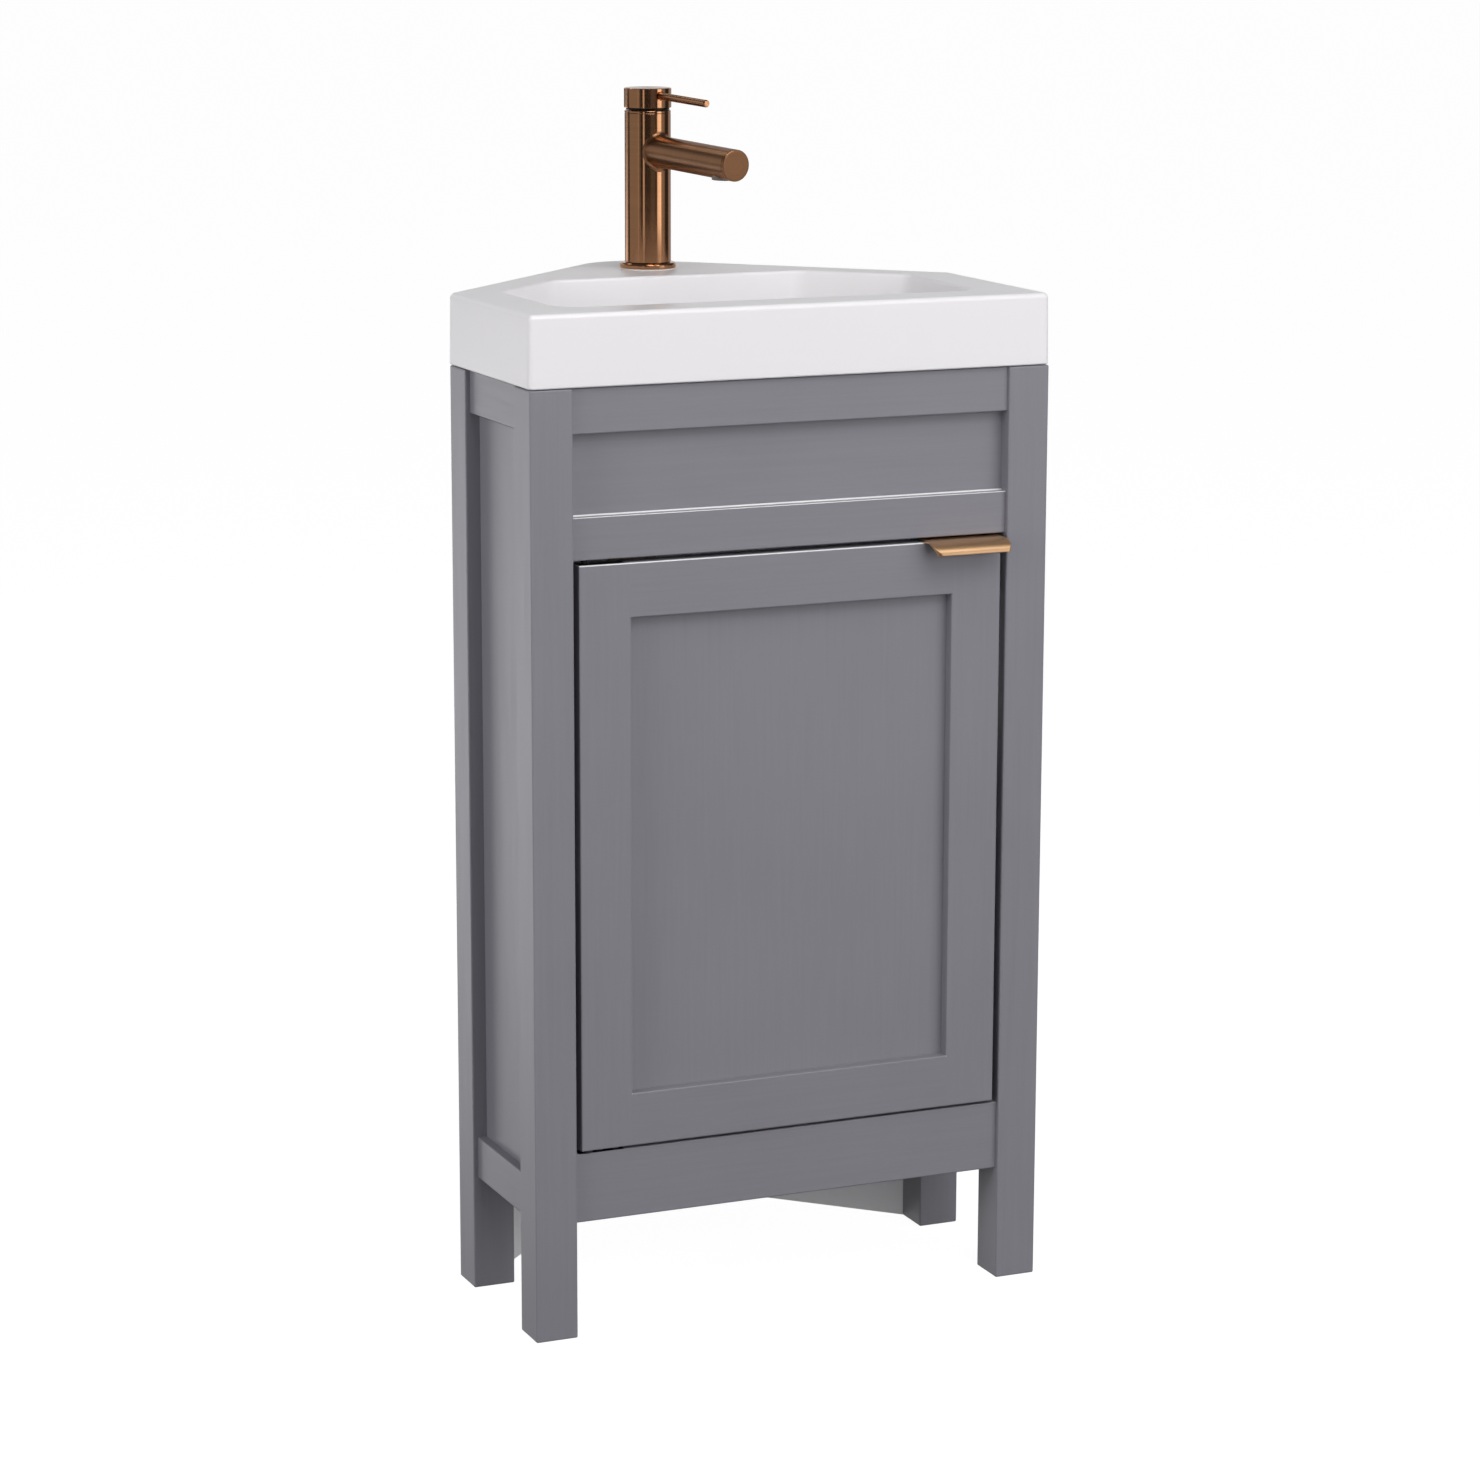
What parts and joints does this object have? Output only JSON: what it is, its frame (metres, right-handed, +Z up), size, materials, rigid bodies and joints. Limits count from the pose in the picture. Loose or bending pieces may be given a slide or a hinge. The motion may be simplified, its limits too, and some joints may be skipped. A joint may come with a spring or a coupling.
{
  "type": "corner vanity unit",
  "caption": "Corner vanity unit: framed grey corner cabinet on square legs with a panelled door and edge pull, a white ceramic corner basin and a bronze lever mixer tap.",
  "frame": {"origin": "floor level, under the middle of the whole unit's width and depth", "axes": "+Z up, the door and the handle look along -Y, the rear corner points to +Y, +X to the right seen from the front"},
  "size_m": [0.461, 0.4134, 1.006],
  "materials": {
    "cabinet_paint": "satin grey paint, fine brush grain",
    "white_board": "smooth light grey laminate",
    "pine": "bare planed softwood",
    "white_ceramic": "gloss glaze",
    "brushed_bronze": "brushed bronze plating",
    "pull_bronze": "brushed bronze plating",
    "bare_brass": "turned brass",
    "zinc_steel": "zinc plated",
    "black_rubber": "matt",
    "black_steel": "black oxide",
    "black_nylon": "moulded, matt",
    "white_plastic": "moulded, matt",
    "aerator_plastic": "moulded, matt",
    "seal_silicone": "cured sealant, dull"
  },
  "bodies": {
    "cabinet": {"leg_front_left": "cabinet_paint", "leg_front_right": "cabinet_paint", "leg_rear_left": "cabinet_paint", "leg_rear_right": "cabinet_paint", "front_top_rail": "cabinet_paint", "front_panel": "cabinet_paint", "front_mid_rail": "cabinet_paint", "front_bottom_rail": "cabinet_paint", "side_top_rail_left": "cabinet_paint", "side_top_rail_right": "cabinet_paint", "side_bottom_rail_left": "cabinet_paint", "side_bottom_rail_right": "cabinet_paint", "side_panel_left": "cabinet_paint", "side_panel_right": "cabinet_paint", "back_panel_left": "white_board", "back_panel_right": "white_board", "cabinet_floor": "white_board", "shelf": "white_board", "rear_post": "pine", "frame_dowels": "pine", "basin": "white_ceramic", "tap_base_ring": "brushed_bronze", "tap_body": "brushed_bronze", "tap_spout": "brushed_bronze", "waste_body": "brushed_bronze", "waste_guide": "bare_brass", "waste_nut": "bare_brass", "cartridge_nut": "bare_brass", "shelf_pins": "zinc_steel", "wall_plates": "zinc_steel", "cabinet_screws": "zinc_steel", "tap_stud": "zinc_steel", "tap_clamp_washer": "zinc_steel", "tap_clamp_nut": "zinc_steel", "waste_washer": "black_rubber", "tap_clamp_pad": "black_rubber", "frame_pivot_plates": "black_steel", "pivot_washers": "black_nylon", "tap_cartridge": "black_nylon", "magnetic_catch": "white_plastic", "tap_gasket": "white_plastic", "tap_aerator": "aerator_plastic", "basin_seal": "seal_silicone"},
    "door": {"door_stile_left": "cabinet_paint", "door_stile_right": "cabinet_paint", "door_top_rail": "cabinet_paint", "door_bottom_rail": "cabinet_paint", "door_panel": "cabinet_paint", "door_pivot_plates": "black_steel", "door_pivot_screws": "black_steel", "catch_plate": "zinc_steel", "edge_pull": "pull_bronze", "pull_screws": "pull_bronze"},
    "lever_swivel": {"lever_carrier": "black_steel"},
    "tap_handle": {"tap_cap": "brushed_bronze", "tap_lever": "brushed_bronze", "lift_pin": "zinc_steel"},
    "plug": {"waste_plug": "brushed_bronze", "plug_stem": "bare_brass"}
  },
  "joints": [
    {"name": "door_hinge", "type": "hinge", "parent": "cabinet", "child": "door", "pos_m": [-0.1815, -0.17824, 0.4035], "axis": [0, 0, -1], "range_deg": [0, 105]},
    {"name": "lever_turn", "type": "hinge", "parent": "cabinet", "child": "lever_swivel", "pos_m": [0, 0.13026, 0.989], "axis": [0, 0, 1], "range_deg": [-40, 40]},
    {"name": "lever_lift", "type": "hinge", "parent": "lever_swivel", "child": "tap_handle", "pos_m": [-0.00301, 0.14577, 0.992], "axis": [-0.9816, -0.1908, 0], "range_deg": [0, 20]},
    {"name": "plug_push", "type": "slide", "parent": "cabinet", "child": "plug", "axis": [0, 0, 1], "range_m": [0, 0.008]}
  ]
}
